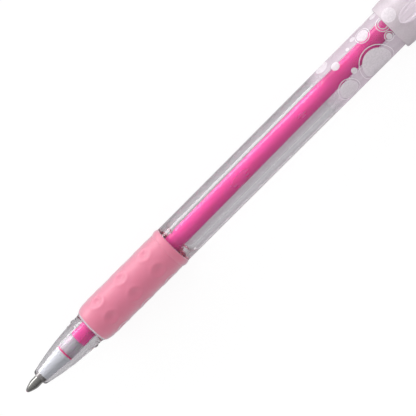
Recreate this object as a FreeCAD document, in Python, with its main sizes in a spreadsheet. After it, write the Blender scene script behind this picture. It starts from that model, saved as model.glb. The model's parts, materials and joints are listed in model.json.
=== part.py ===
"""Gel pen with its clear cap posted on the rear of the barrel.

The pen lies along X with its writing tip towards -X, and the pocket clip points up along +Z.
Every outline is drawn with x counted from the front of the writing ball (a station) and r
counted from the pen's axis. A body's Placement then moves x = 0 to the left end of the pen, with
the origin below the middle, level with the underside of the cap. Sizes are millimetres.
"""

import FreeCAD, Part

import math
import os
import re

import Sketcher

SIZES = {
    # Whole pen
    "overall_length": 158.0,
    "edge_break": 0.2,
    "slide_gap": 0.1,  # radial, between pieces that move on each other
    "seat_gap": 0.02,  # radial, between pieces that sit in each other
    # Refill: a rigid stick that leans in the wide bore, about a pivot in the nose
    "refill_lean": 0.45,
    "refill_pivot": 8.0,
    # Metal point
    "ball_radius": 0.4,
    "lip_station": 0.25,
    "lip_radius": 0.46,
    "cone_end": 2.5,
    "cone_curve": 11.0,
    "point_radius": 1.175,
    "collar_start": 4.3,
    "collar_end": 5.5,
    "collar_radius": 1.45,
    "stem_radius": 1.15,
    "stem_end": 8.9,
    "feed_radius": 0.5,
    "feed_start": 1.4,
    "channel_radius": 0.25,
    "channel_end": 1.1,
    # Tip holder
    "holder_front_radius": 1.46,
    "holder_rear_radius": 2.0,
    "holder_cone_end": 12.2,
    "holder_bore_radius": 0.8,
    "plug_end": 16.9,
    # Ink tube
    "tube_start": 12.65,
    "tube_radius": 2.1,
    "tube_bore_radius": 1.75,
    "ink_end": 118.2,
    "follower_end": 121.2,
    "meniscus_depth": 0.6,
    "meniscus_radius": 0.9,
    "tube_end": 122.6,
    # Nose
    "nose_start": 4.4,
    "nose_rim_radius": 1.95,
    "nose_hole_radius": 1.55,
    "ogive_end": 17.0,
    "ogive_curve": 70.0,
    "ogive_radius": 3.78,
    "ridge_end": 17.4,
    "ridge_radius": 3.88,
    "neck_radius": 3.83,
    "bead_rise_start": 18.1,
    "bead_start": 18.55,
    "bead_end": 19.05,
    "bead_fall_end": 19.4,
    "bead_radius": 4.13,
    "flare_start": 20.3,
    "flare_start_radius": 3.96,
    "flare_curve": 3.2,
    "nose_bore_start": 11.9,
    "nose_bore_radius": 2.35,
    "holder_clearance": 0.12,
    "thread_radius": 3.1,
    "thread_end": 28.6,
    # Grip
    "grip_start": 21.6,
    "grip_front_radius": 4.5,
    "grip_round_end": 23.6,
    "grip_round_curve": 6.0,
    "grip_radius": 4.94,
    "grip_core_radius": 4.0,
    "collar_groove_start": 45.4,
    "collar_groove_depth": 0.06,
    "collar_groove_width": 0.3,
    "collar_curve": 1.85,
    "grip_end": 47.5,
    "dimple_station": 26.6,
    "dimple_pitch": 7.53,
    "dimple_depth": 0.3,
    "dimple_curve": 5.0,
    "dimple_turn": 16.5,
    # Barrel
    "socket_end": 29.8,
    "core_bore_radius": 2.6,
    "bore_round_start": 49.2,
    "bore_round_end": 51.3,
    "bore_round_curve": 4.7,
    "bore_radius": 3.1,
    "barrel_front_radius": 4.88,
    "barrel_rear_radius": 5.025,
    "shoulder_station": 120.2,
    "tail_radius": 4.15,
    "tail_end": 128.0,
    # Tail plug
    "spigot_start": 123.6,
    "plug_bore_radius": 2.3,
    "plug_bore_end": 127.8,
    "plug_flange_end": 129.0,
    "vent_radius": 0.5,
    # Cap shell
    "cap_mouth": 116.4,
    "mouth_radius": 5.85,
    "mouth_taper": 1.8,
    "cap_radius": 6.0,
    "cap_bore_radius": 5.175,
    "shell_end": 155.5,
    # Inner cap
    "liner_start": 120.35,
    "liner_body_end": 134.15,
    "liner_neck_start": 137.35,
    "liner_neck_radius": 3.4,
    "liner_bore_end": 134.2,
    "nose_seat_end": 136.0,
    "nose_seat_radius": 2.7,
    "point_well_start": 137.3,
    "point_well_front_radius": 2.35,
    "point_well_radius": 1.72,
    "seal_start": 141.5,
    "seal_end": 143.0,
    "liner_end": 144.2,
    # Crown
    "crown_start": 151.5,
    "crown_bore_radius": 4.1,
    "crown_bore_end": 156.5,
    "crown_round": 1.0,
    "crown_hole_radius": 0.9,
    "crown_vent_radius": 0.55,
    "crown_vent_offset": 2.7,
    # Pocket clip and its boss
    "clip_tip": 119.0,
    "clip_width": 3.8,
    "clip_tip_curve": 1.905,
    "clip_tip_length": 1.9,
    "clip_underside": 7.35,
    "clip_top": 8.85,
    "clip_touch": 6.25,
    "bump_rise": 0.6,
    "bump_start": 120.0,
    "bump_end": 121.4,
    "bump_run": 1.7,
    "rib_groove_width": 0.6,
    "rib_groove_depth": 0.25,
    "rib_groove_offset": 0.95,
    "hinge_station": 151.9,
    "knuckle_radius": 0.78,
    "knuckle_gap": 0.17,
    "boss_start": 151.0,
    "boss_foot": 5.3,
    "boss_width": 4.6,
}

DIMPLES_ALONG = 3
DIMPLES_ROUND = 6
CROWN_VENTS = 3

doc = FreeCAD.newDocument("GelPen")
sheet = doc.addObject("Spreadsheet::Sheet", "Sizes")
for row, (alias, size) in enumerate(SIZES.items(), start=1):
    sheet.set(f"A{row}", alias)
    sheet.set(f"B{row}", str(size))
    sheet.setAlias(f"B{row}", alias)
doc.recompute()


def linked(text):
    """The expression that reads the sizes named in text from the sheet."""
    return re.sub(r"\b[a-z][a-z_]*\b(?!\()", r"Sizes.\g<0>", text)


def number(text):
    """The present value of a size or sum of sizes."""
    return float(sheet.evalExpression(linked(text)))


def plane_of(body, role):
    """One of a body's own origin planes or axes."""
    return next(f for f in body.Origin.OriginFeatures if f.Role == role)


def new_body(name, leaning=False):
    """A body whose x = 0 lies at the left end of the pen. A leaning one turns about the refill's pivot."""
    body = doc.addObject("PartDesign::Body", name)
    body.Label = name
    if leaning:
        body.Placement = FreeCAD.Placement(
            FreeCAD.Vector(), FreeCAD.Rotation(FreeCAD.Vector(0, 0, 1), number("refill_lean"))
        )
        lean = "Sizes.refill_lean * 1 deg"
        start = "Sizes.refill_pivot - Sizes.overall_length / 2"
        body.setExpression("Placement.Rotation.Angle", "Sizes.refill_lean")
        body.setExpression("Placement.Base.x", f"{start} - Sizes.refill_pivot * cos({lean})")
        body.setExpression("Placement.Base.y", f"-Sizes.refill_pivot * sin({lean})")
    else:
        body.setExpression("Placement.Base.x", "-Sizes.overall_length / 2")
    body.setExpression("Placement.Base.z", "Sizes.cap_radius")
    return body


def arc_between(start, end, radius, side):
    """A counter-clockwise arc through two points. side is 1 when it bulges left of the way along."""
    chord = end - start
    middle = (start + end) / 2
    left = FreeCAD.Vector(-chord.y, chord.x, 0).normalize()
    rise = math.sqrt(radius**2 - (chord.Length / 2) ** 2)
    centre = middle - left * side * rise
    first, last = (end, start) if side > 0 else (start, end)
    angles = [math.atan2(p.y - centre.y, p.x - centre.x) for p in (first, last)]
    if angles[1] < angles[0]:
        angles[1] += 2 * math.pi
    circle = Part.Circle(centre, FreeCAD.Vector(0, 0, 1), radius)
    return Part.ArcOfCircle(circle, *angles)


def pin_down(sketch, corner, texts):
    """Holds one end of an edge at the place that two sizes give."""
    for kind, axis, text in (("DistanceX", -2, texts[0]), ("DistanceY", -1, texts[1])):
        if text == "0":
            sketch.addConstraint(Sketcher.Constraint("PointOnObject", *corner, axis))
            continue
        rule = Sketcher.Constraint(kind, -1, 1, *corner, number(text))
        index = sketch.addConstraint(rule)
        sketch.setExpression(f"Constraints[{index}]", linked(text))


def outline(body, name, steps, plane="XZ_Plane"):
    """A closed sketch. steps holds corners (x, r) and, between corners, arcs (radius, side)."""
    sketch = body.newObject("Sketcher::SketchObject", name)
    sketch.AttachmentSupport = (plane_of(body, plane), "")
    sketch.MapMode = "FlatFace"
    corners = [s for s in steps if isinstance(s[1], str)]
    places = [FreeCAD.Vector(number(x), number(r), 0) for x, r in corners]
    arcs = {}
    passed = 0
    for step in steps:
        if isinstance(step[1], str):
            passed += 1
        else:
            arcs[passed - 1] = step
    starts = []
    for i, place in enumerate(places):
        following = places[(i + 1) % len(places)]
        if i in arcs:
            radius, side = arcs[i]
            edge = sketch.addGeometry(arc_between(place, following, number(radius), side))
            index = sketch.addConstraint(Sketcher.Constraint("Radius", edge, number(radius)))
            sketch.setExpression(f"Constraints[{index}]", linked(radius))
            starts.append((edge, 2, 1) if side > 0 else (edge, 1, 2))
        else:
            edge = sketch.addGeometry(Part.LineSegment(place, following))
            starts.append((edge, 1, 2))
    for i, (edge, first, _) in enumerate(starts):
        before, _, last = starts[i - 1]
        sketch.addConstraint(Sketcher.Constraint("Coincident", before, last, edge, first))
        pin_down(sketch, (edge, first), corners[i])
    return sketch


def circle_sketch(body, name, centre_texts, radius_text, plane):
    """A sketch of one circle."""
    sketch = body.newObject("Sketcher::SketchObject", name)
    sketch.AttachmentSupport = (plane_of(body, plane), "")
    sketch.MapMode = "FlatFace"
    centre = FreeCAD.Vector(*(number(text) for text in centre_texts), 0)
    circle = Part.Circle(centre, FreeCAD.Vector(0, 0, 1), number(radius_text))
    edge = sketch.addGeometry(circle)
    index = sketch.addConstraint(Sketcher.Constraint("Radius", edge, number(radius_text)))
    sketch.setExpression(f"Constraints[{index}]", linked(radius_text))
    pin_down(sketch, (edge, 3), centre_texts)
    return sketch


def turned(name, steps, leaning=False):
    """A body turned about the pen's axis from a half section."""
    body = new_body(name, leaning)
    revolution = body.newObject("PartDesign::Revolution", name + "_turned")
    revolution.Profile = outline(body, name + "_section", steps)
    revolution.ReferenceAxis = (plane_of(body, "X_Axis"), [""])
    revolution.Angle = 360
    body.Tip = revolution
    return body


def add_feature(body, kind, name, sketch, length=None):
    """A pad or pocket centred on its sketch, through everything when it has no length."""
    feature = body.newObject(kind, name)
    feature.Profile = sketch
    feature.Midplane = True
    if length is None:
        feature.Type = "ThroughAll"
    else:
        feature.setExpression("Length", linked(length))
    body.Tip = feature
    return feature


def writing_ball():
    """The ball stands clear of its socket all round and shows past the lip."""
    ball = doc.addObject("Part::Sphere", "writing_ball")
    ball.Label = "writing_ball"
    ball.setExpression("Radius", "Sizes.ball_radius")
    lean = "Sizes.refill_lean * 1 deg"
    reach = "(Sizes.refill_pivot - Sizes.ball_radius)"
    along = "Sizes.refill_pivot - Sizes.overall_length / 2"
    ball.setExpression("Placement.Base.x", f"{along} - {reach} * cos({lean})")
    ball.setExpression("Placement.Base.y", f"-{reach} * sin({lean})")
    ball.setExpression("Placement.Base.z", "Sizes.cap_radius")
    return ball


def point_housing():
    """Cone, cylinder, collar and hidden stem, with a spherical ball socket and an ink channel."""
    socket = "(ball_radius + seat_gap)"
    socket_back = f"ball_radius + sqrt({socket}^2 - channel_radius^2)"
    socket_front_radius = f"sqrt({socket}^2 - (ball_radius - lip_station)^2)"
    return turned(
        "point_housing",
        [
            ("lip_station", "lip_radius"),
            ("cone_curve", 1),
            ("cone_end", "point_radius"),
            ("collar_start", "point_radius"),
            ("collar_start", "collar_radius"),
            ("collar_end", "collar_radius"),
            ("collar_end", "stem_radius"),
            ("stem_end", "stem_radius"),
            ("stem_end", "feed_radius"),
            ("feed_start", "feed_radius"),
            ("channel_end", "channel_radius"),
            (socket_back, "channel_radius"),
            (socket, -1),
            ("lip_station", socket_front_radius),
        ],
        leaning=True,
    )


def tip_holder():
    """White cone that takes the metal stem in front and plugs into the tube behind a flange."""
    return turned(
        "tip_holder",
        [
            ("collar_end", "stem_radius"),
            ("collar_end", "holder_front_radius"),
            ("holder_cone_end", "holder_rear_radius"),
            ("holder_cone_end", "tube_radius"),
            ("tube_start", "tube_radius"),
            ("tube_start", "tube_bore_radius - seat_gap"),
            ("plug_end - edge_break", "tube_bore_radius - seat_gap"),
            ("plug_end", "tube_bore_radius - edge_break"),
            ("plug_end", "holder_bore_radius"),
            ("stem_end", "holder_bore_radius"),
            ("stem_end", "stem_radius"),
        ],
        leaning=True,
    )


def refill_tube():
    """Plain open tube, pushed onto the tip holder."""
    return turned(
        "refill_tube",
        [
            ("tube_start", "tube_bore_radius"),
            ("tube_start", "tube_radius"),
            ("tube_end", "tube_radius"),
            ("tube_end", "tube_bore_radius"),
        ],
        leaning=True,
    )


def ink_column():
    """Ink that fills the tube's bore from the tip holder back to the follower."""
    return turned(
        "ink_column",
        [
            ("plug_end", "0"),
            ("plug_end", "tube_bore_radius - seat_gap"),
            ("ink_end", "tube_bore_radius - seat_gap"),
            ("ink_end", "0"),
        ],
        leaning=True,
    )


def gel_follower():
    """Grease plug that floats behind the ink, hollowed at its rear by surface tension."""
    return turned(
        "gel_follower",
        [
            ("ink_end", "0"),
            ("ink_end", "tube_bore_radius - seat_gap"),
            ("follower_end", "tube_bore_radius - seat_gap"),
            ("follower_end - meniscus_depth", "meniscus_radius"),
            ("follower_end - meniscus_depth", "0"),
        ],
        leaning=True,
    )


def nose_cone():
    """Ogive nose with a ridge, a snap bead for the cap, a flared flange and a screw spigot."""
    return turned(
        "nose_cone",
        [
            ("nose_start", "nose_hole_radius"),
            ("nose_start", "nose_rim_radius - edge_break"),
            ("nose_start + edge_break", "nose_rim_radius"),
            ("ogive_curve", 1),
            ("ogive_end", "ogive_radius"),
            ("ogive_end", "ridge_radius"),
            ("ridge_end", "ridge_radius"),
            ("ridge_end", "neck_radius"),
            ("bead_rise_start", "neck_radius"),
            ("bead_start", "bead_radius"),
            ("bead_end", "bead_radius"),
            ("bead_fall_end", "flare_start_radius"),
            ("flare_start", "flare_start_radius"),
            ("flare_curve", -1),
            ("grip_start", "grip_front_radius"),
            ("grip_start", "thread_radius"),
            ("thread_end - edge_break", "thread_radius"),
            ("thread_end", "thread_radius - edge_break"),
            ("thread_end", "nose_bore_radius"),
            ("nose_bore_start", "nose_bore_radius"),
            ("nose_bore_start", "holder_rear_radius + holder_clearance"),
            ("collar_end", "nose_hole_radius + seat_gap"),
            ("collar_end", "nose_hole_radius"),
        ],
    )


def grip_sleeve():
    """Rubber sleeve with a rounded front, a raised rear collar and rows of shallow oval dimples."""
    body = turned(
        "grip_sleeve",
        [
            ("grip_start", "grip_core_radius"),
            ("grip_start", "grip_front_radius"),
            ("grip_round_curve", 1),
            ("grip_round_end", "grip_radius"),
            ("collar_groove_start", "grip_radius"),
            ("collar_groove_start + collar_groove_width / 2", "grip_radius - collar_groove_depth"),
            ("collar_groove_start + collar_groove_width", "grip_radius"),
            ("collar_curve", 1),
            ("grip_end", "barrel_front_radius"),
            ("grip_end", "grip_core_radius"),
        ],
    )
    dimple = body.newObject("PartDesign::SubtractiveSphere", "grip_dimple")
    dimple.setExpression("Radius", "Sizes.dimple_curve")
    dimple.setExpression("Placement.Base.x", "Sizes.dimple_station")
    height = "Sizes.grip_radius + Sizes.dimple_curve - Sizes.dimple_depth"
    turn = "Sizes.dimple_turn * 1 deg"
    dimple.setExpression("Placement.Base.y", f"-({height}) * sin({turn})")
    dimple.setExpression("Placement.Base.z", f"({height}) * cos({turn})")
    body.Tip = dimple
    doc.recompute()
    pattern = body.newObject("PartDesign::MultiTransform", "grip_dimples")
    pattern.Originals = [dimple]
    along = body.newObject("PartDesign::LinearPattern", "grip_dimples_along")
    along.Direction = (plane_of(body, "X_Axis"), [""])
    along.setExpression("Length", f"{DIMPLES_ALONG - 1} * Sizes.dimple_pitch")
    along.Occurrences = DIMPLES_ALONG
    around = body.newObject("PartDesign::PolarPattern", "grip_dimples_round")
    around.Axis = (plane_of(body, "X_Axis"), [""])
    around.Angle = 360
    around.Occurrences = DIMPLES_ROUND
    pattern.Transformations = [along, around]
    body.Tip = pattern
    return body


def barrel():
    """Thick clear tube: core under the grip, slightly tapered body, and a reduced tail."""
    return turned(
        "barrel",
        [
            ("grip_start", "thread_radius + slide_gap"),
            ("grip_start", "grip_core_radius"),
            ("grip_end", "grip_core_radius"),
            ("grip_end", "barrel_front_radius"),
            ("shoulder_station - edge_break", "barrel_rear_radius"),
            ("shoulder_station", "barrel_rear_radius - edge_break"),
            ("shoulder_station", "tail_radius"),
            ("tail_end", "tail_radius"),
            ("tail_end", "bore_radius"),
            ("bore_round_end", "bore_radius"),
            ("bore_round_curve", -1),
            ("bore_round_start", "core_bore_radius"),
            ("socket_end", "core_bore_radius"),
            ("socket_end", "thread_radius + slide_gap"),
        ],
    )


def tail_plug():
    """Hollow plug that closes the tail, with an air vent so that the ink can run down."""
    return turned(
        "tail_plug",
        [
            ("spigot_start", "plug_bore_radius"),
            ("spigot_start", "bore_radius - edge_break"),
            ("spigot_start + edge_break", "bore_radius - seat_gap"),
            ("tail_end", "bore_radius - seat_gap"),
            ("tail_end", "tail_radius"),
            ("plug_flange_end - edge_break", "tail_radius"),
            ("plug_flange_end", "tail_radius - edge_break"),
            ("plug_flange_end", "vent_radius"),
            ("plug_bore_end", "vent_radius"),
            ("plug_bore_end", "plug_bore_radius"),
        ],
    )


def cap_shell():
    """Thin clear tube with a tapered mouth, and the boss that the clip's knuckle sits in."""
    body = turned(
        "cap_shell",
        [
            ("cap_mouth", "cap_bore_radius + edge_break"),
            ("cap_mouth", "mouth_radius - edge_break"),
            ("cap_mouth + edge_break", "mouth_radius"),
            ("cap_mouth + mouth_taper", "cap_radius"),
            ("shell_end", "cap_radius"),
            ("shell_end", "cap_bore_radius"),
            ("cap_mouth + edge_break", "cap_bore_radius"),
        ],
    )
    recess = "(knuckle_radius + knuckle_gap)"
    rise = "(clip_top - clip_underside) / 2"
    side = outline(
        body,
        "boss_side",
        [
            ("boss_start", "boss_foot"),
            ("boss_start", f"clip_underside + {rise} - {recess}"),
            ("hinge_station", f"clip_underside + {rise} - {recess}"),
            (recess, -1),
            (f"hinge_station + sqrt({recess}^2 - ({rise})^2)", "clip_top"),
            ("shell_end - edge_break", "clip_top"),
            ("shell_end", "clip_top - edge_break"),
            ("shell_end", "boss_foot"),
        ],
    )
    add_feature(body, "PartDesign::Pad", "boss", side, "boss_width")
    return body


def inner_cap():
    """Liner that slides over the tail or the nose, narrowing to a seat and a well for the point."""
    return turned(
        "inner_cap",
        [
            ("liner_start", "tail_radius + slide_gap + edge_break"),
            ("liner_start", "cap_bore_radius - seat_gap - edge_break"),
            ("liner_start + edge_break", "cap_bore_radius - seat_gap"),
            ("liner_body_end", "cap_bore_radius - seat_gap"),
            ("liner_neck_start", "liner_neck_radius"),
            ("liner_end", "liner_neck_radius"),
            ("liner_end", "0"),
            ("seal_end", "0"),
            ("seal_end", "point_well_radius"),
            ("point_well_start", "point_well_radius"),
            ("point_well_start", "point_well_front_radius"),
            ("nose_seat_end", "nose_seat_radius"),
            ("liner_bore_end", "tail_radius + slide_gap"),
            ("liner_start + edge_break", "tail_radius + slide_gap"),
        ],
    )


def cap_seal():
    """Rubber pad at the bottom of the point's well."""
    return turned(
        "cap_seal",
        [
            ("seal_start", "0"),
            ("seal_start", "point_well_radius - seat_gap"),
            ("seal_end", "point_well_radius - seat_gap"),
            ("seal_end", "0"),
        ],
    )


def cap_crown():
    """Plug that closes the cap, with a middle hole and air vents round it."""
    body = turned(
        "cap_crown",
        [
            ("crown_start", "crown_bore_radius"),
            ("crown_start", "cap_bore_radius - seat_gap - edge_break"),
            ("crown_start + edge_break", "cap_bore_radius - seat_gap"),
            ("shell_end", "cap_bore_radius - seat_gap"),
            ("shell_end", "cap_radius"),
            ("overall_length - crown_round", "cap_radius"),
            ("crown_round * 1.05", 1),
            ("overall_length", "cap_radius - crown_round"),
            ("overall_length", "crown_hole_radius"),
            ("crown_bore_end", "crown_hole_radius"),
            ("crown_bore_end", "crown_bore_radius"),
        ],
    )
    circle = circle_sketch(
        body, "vent_circle", ("0", "crown_vent_offset"), "crown_vent_radius", "YZ_Plane"
    )
    vent = add_feature(body, "PartDesign::Pocket", "vent", circle)
    doc.recompute()
    vents = body.newObject("PartDesign::PolarPattern", "vents")
    vents.Originals = [vent]
    vents.Axis = (plane_of(body, "X_Axis"), [""])
    vents.Angle = 360
    vents.Occurrences = CROWN_VENTS
    body.Tip = vents
    return body


def pocket_clip():
    """Springy arm with a rounded tip, a bump that rests over the cap, and a knuckle at its root."""
    body = new_body("pocket_clip")
    middle = "(clip_top + clip_underside) / 2"
    side = outline(
        body,
        "clip_side",
        [
            ("clip_tip", middle),
            ("clip_tip + edge_break", "clip_top - edge_break"),
            ("clip_tip + clip_tip_length", "clip_top"),
            ("hinge_station", "clip_top"),
            ("knuckle_radius", 1),
            ("hinge_station", "clip_underside"),
            ("bump_end + bump_run", "clip_underside"),
            ("bump_end", "clip_touch"),
            ("bump_start", "clip_touch"),
            ("clip_tip", "clip_touch + bump_rise"),
        ],
    )
    add_feature(body, "PartDesign::Pad", "clip_arm", side, "clip_width")
    tip = outline(
        body,
        "clip_tip_corners",
        [
            ("clip_tip - edge_break", "-clip_width"),
            ("clip_tip + clip_tip_length", "-clip_width"),
            ("clip_tip + clip_tip_length", "-clip_width / 2"),
            ("clip_tip_curve", 1),
            ("clip_tip + clip_tip_length", "clip_width / 2"),
            ("clip_tip + clip_tip_length", "clip_width"),
            ("clip_tip - edge_break", "clip_width"),
        ],
        "XY_Plane",
    )
    add_feature(body, "PartDesign::Pocket", "clip_tip_round", tip)
    for name, direction in (("left", ""), ("right", "-")):
        inner = f"{direction}(rib_groove_offset - rib_groove_width / 2)"
        outer = f"{direction}(rib_groove_offset + rib_groove_width / 2)"
        groove = outline(
            body,
            f"groove_{name}_section",
            [
                (inner, "clip_top - rib_groove_depth"),
                (outer, "clip_top - rib_groove_depth"),
                (outer, "clip_top + rib_groove_depth"),
                (inner, "clip_top + rib_groove_depth"),
            ],
            "YZ_Plane",
        )
        add_feature(body, "PartDesign::Pocket", f"groove_{name}", groove)
    return body


SUB_PARTS = [
    writing_ball(),
    point_housing(),
    tip_holder(),
    refill_tube(),
    ink_column(),
    gel_follower(),
    nose_cone(),
    grip_sleeve(),
    barrel(),
    tail_plug(),
    cap_shell(),
    inner_cap(),
    cap_seal(),
    cap_crown(),
    pocket_clip(),
]
doc.recompute()

for thing in doc.Objects:
    if {"Invalid", "Error"} & set(thing.State):
        raise RuntimeError(f"{thing.Name} failed: {thing.State}")
for part in SUB_PARTS:
    if part.Shape.isNull() or not part.Shape.isValid():
        raise RuntimeError(f"{part.Label} has no valid shape")

os.makedirs("parts", exist_ok=True)
for part in SUB_PARTS:
    part.Shape.exportStep(f"parts/{part.Label}.step")
    print(part.Label, "volume", round(part.Shape.Volume, 2), "mm3", len(part.Shape.Solids), "solid")
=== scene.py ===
"""Looks of the gel pen: clear plastic, ink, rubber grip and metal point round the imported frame.

Sizes are millimetres. A station counts from the front of the writing ball towards the cap, and a
radius from the pen's axis. place() turns a station, a radius and a turn about the axis into a
point of the frame, in metres. A turn of 0 points up, and positive turns go towards -Y.
"""

import json
import math
from types import SimpleNamespace

import bmesh
import bpy
from mathutils import Matrix, Vector


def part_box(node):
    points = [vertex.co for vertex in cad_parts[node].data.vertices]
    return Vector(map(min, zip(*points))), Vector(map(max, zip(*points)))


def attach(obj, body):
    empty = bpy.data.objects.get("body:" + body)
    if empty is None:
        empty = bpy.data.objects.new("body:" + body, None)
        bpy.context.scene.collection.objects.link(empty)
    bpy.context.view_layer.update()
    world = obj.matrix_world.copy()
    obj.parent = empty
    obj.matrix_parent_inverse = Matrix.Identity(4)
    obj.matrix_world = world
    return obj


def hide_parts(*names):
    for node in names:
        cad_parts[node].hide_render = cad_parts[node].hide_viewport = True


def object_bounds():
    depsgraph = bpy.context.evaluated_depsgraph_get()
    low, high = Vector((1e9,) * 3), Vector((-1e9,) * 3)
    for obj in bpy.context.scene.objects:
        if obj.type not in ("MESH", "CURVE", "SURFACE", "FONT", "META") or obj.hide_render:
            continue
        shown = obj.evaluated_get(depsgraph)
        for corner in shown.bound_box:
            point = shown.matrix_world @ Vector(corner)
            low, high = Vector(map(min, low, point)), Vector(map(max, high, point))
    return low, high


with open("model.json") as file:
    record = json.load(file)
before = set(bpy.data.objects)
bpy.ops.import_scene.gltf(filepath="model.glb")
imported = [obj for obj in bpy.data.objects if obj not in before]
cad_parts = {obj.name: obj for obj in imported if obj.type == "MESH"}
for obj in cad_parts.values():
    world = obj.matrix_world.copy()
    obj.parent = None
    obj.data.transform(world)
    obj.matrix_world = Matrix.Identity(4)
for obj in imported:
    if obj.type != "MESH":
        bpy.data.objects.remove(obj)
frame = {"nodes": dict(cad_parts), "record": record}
CAD_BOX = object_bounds()

MM = 0.001
SEGMENTS = 144
# An arc has a point at least every so much turn, and at least every so many millimetres
ARC_STEP = math.radians(3.0)
ARC_RUN = 0.8
# An edge that turns by more than this many degrees is shaded as sharp, and is rounded
SHARP = 35.0

SIZE = SimpleNamespace(
    edge_break=0.2,
    slide_gap=0.1,
    seat_gap=0.02,
    # Metal point
    ball_radius=0.4,
    lip_station=0.25,
    lip_radius=0.46,
    lip_roll=0.07,
    cone_end=2.5,
    cone_curve=11.0,
    point_radius=1.175,
    collar_start=4.3,
    collar_end=5.5,
    collar_radius=1.45,
    stem_radius=1.15,
    stem_end=8.9,
    feed_radius=0.5,
    feed_start=1.4,
    # Tip holder
    holder_front_radius=1.46,
    holder_rear_radius=2.0,
    holder_cone_end=12.2,
    holder_bore_radius=0.8,
    plug_end=16.9,
    # Ink tube
    tube_start=12.65,
    tube_radius=2.1,
    tube_bore_radius=1.75,
    tint_length=0.36,
    ink_end=118.2,
    follower_end=121.2,
    meniscus_depth=0.6,
    tube_end=122.6,
    # Nose
    nose_start=4.4,
    nose_rim_radius=1.95,
    nose_hole_radius=1.55,
    ogive_end=17.0,
    ogive_curve=70.0,
    ogive_radius=3.78,
    ridge_end=17.4,
    ridge_radius=3.88,
    neck_radius=3.83,
    bead_rise_start=18.1,
    bead_start=18.55,
    bead_end=19.05,
    bead_fall_end=19.4,
    bead_radius=4.13,
    flare_start=20.3,
    flare_start_radius=3.96,
    flare_curve=3.2,
    nose_bore_start=11.9,
    nose_bore_radius=2.35,
    holder_clearance=0.12,
    thread_radius=3.1,
    thread_end=28.6,
    # Grip
    grip_start=21.6,
    grip_front_radius=4.5,
    grip_round_end=23.6,
    grip_round_curve=6.0,
    grip_radius=4.94,
    grip_core_radius=4.0,
    lip_overlap=0.08,
    rim_start=21.05,
    collar_groove_start=45.4,
    collar_groove_depth=0.06,
    collar_groove_width=0.3,
    collar_curve=1.85,
    grip_end=47.5,
    # Barrel
    socket_end=29.8,
    core_bore_radius=2.6,
    bore_round_start=49.2,
    bore_round_end=51.3,
    bore_round_curve=4.7,
    bore_radius=3.1,
    barrel_front_radius=4.88,
    barrel_rear_radius=5.025,
    shoulder_station=120.2,
    tail_radius=4.15,
    tail_end=128.0,
    # Tail plug
    spigot_start=123.6,
    plug_bore_radius=2.3,
    plug_bore_end=127.8,
    plug_flange_end=129.0,
    vent_radius=0.5,
    # Cap shell
    cap_mouth=116.4,
    mouth_radius=5.85,
    mouth_taper=1.8,
    cap_radius=6.0,
    cap_bore_radius=5.175,
    shell_end=155.5,
    # Inner cap
    liner_start=120.35,
    liner_body_end=134.15,
    liner_neck_start=137.35,
    liner_neck_radius=3.4,
    liner_bore_end=134.2,
    nose_seat_end=136.0,
    nose_seat_radius=2.7,
    point_well_start=137.3,
    point_well_front_radius=2.35,
    point_well_radius=1.72,
    seal_start=141.5,
    seal_end=143.0,
    liner_end=144.2,
    # Crown
    crown_start=151.5,
    crown_bore_radius=4.1,
    crown_bore_end=156.5,
    crown_end=158.0,
    crown_round=1.0,
    crown_curve=1.05,
    crown_hole_radius=0.9,
    crown_vent_radius=0.55,
    crown_vent_offset=2.7,
    crown_vents=3,
    # Pocket clip and its boss
    clip_tip=119.0,
    clip_half_width=1.9,
    clip_tip_length=3.3,
    clip_underside=7.35,
    clip_top=8.85,
    clip_touch=6.25,
    bump_rise=0.6,
    bump_start=120.0,
    bump_end=121.4,
    bump_run=1.7,
    rib_groove_width=0.6,
    rib_groove_depth=0.25,
    rib_groove_offset=0.95,
    hinge_station=151.9,
    knuckle_radius=0.78,
    knuckle_gap=0.17,
    boss_start=151.0,
    boss_foot=5.3,
    boss_width=4.6,
    # Printing
    mist_start=94.0,
    mist_full=99.0,
    mist_gap=0.004,
    mist_thickness=0.008,
)


# Places in the frame


def middle(node):
    """The middle of a CAD node's box."""
    low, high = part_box(node)
    return (low + high) / 2


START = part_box("writing_ball")[0].x
AXIS = middle("barrel")


def place(station, radius, turn=0.0):
    """The point of the frame at a station, a radius and a turn about the pen's axis."""
    x = START + station * MM
    y = AXIS.y - radius * MM * math.sin(turn)
    z = AXIS.z + radius * MM * math.cos(turn)
    return Vector((x, y, z))


def refill_lean():
    """The turn that takes the pen's axis to the refill's, which the ball and the tube lie on."""
    front, rear = middle("writing_ball"), middle("refill_tube")
    slope = (rear.y - front.y) / (rear.x - front.x)
    pivot = Vector((front.x - (front.y - AXIS.y) / slope, AXIS.y, AXIS.z))
    turn = Matrix.Rotation(math.atan(slope), 4, "Z")
    return Matrix.Translation(pivot) @ turn @ Matrix.Translation(-pivot)


BODY_OF = {
    node: body
    for body, nodes in frame["record"]["behaviour"]["bodies"].items()
    for node in nodes
}


# Node helpers


def set_inputs(node, **values):
    """Sets a node's inputs, with underscores for spaces, to values or to other nodes' outputs."""
    for key, value in values.items():
        socket = node.inputs[key.replace("_", " ")]
        if isinstance(value, bpy.types.NodeSocket):
            node.id_data.links.new(value, socket)
        else:
            socket.default_value = value
    return node


def add_node(tree, kind, **values):
    """A new shader node with its inputs set."""
    return set_inputs(tree.nodes.new("ShaderNode" + kind), **values)


def new_material(name):
    """A material with an empty node tree, and its output node."""
    material = bpy.data.materials.new(name)
    material.use_nodes = True
    tree = material.node_tree
    tree.nodes.clear()
    output = tree.nodes.new("ShaderNodeOutputMaterial")
    return material, tree, output


def one_shader(name, **values):
    """A material of one Principled shader with its inputs set, its node tree and the shader."""
    material, tree, output = new_material(name)
    shader = add_node(tree, "BsdfPrincipled", **values)
    set_inputs(output, Surface=shader.outputs["BSDF"])
    return material, tree, shader


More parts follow.
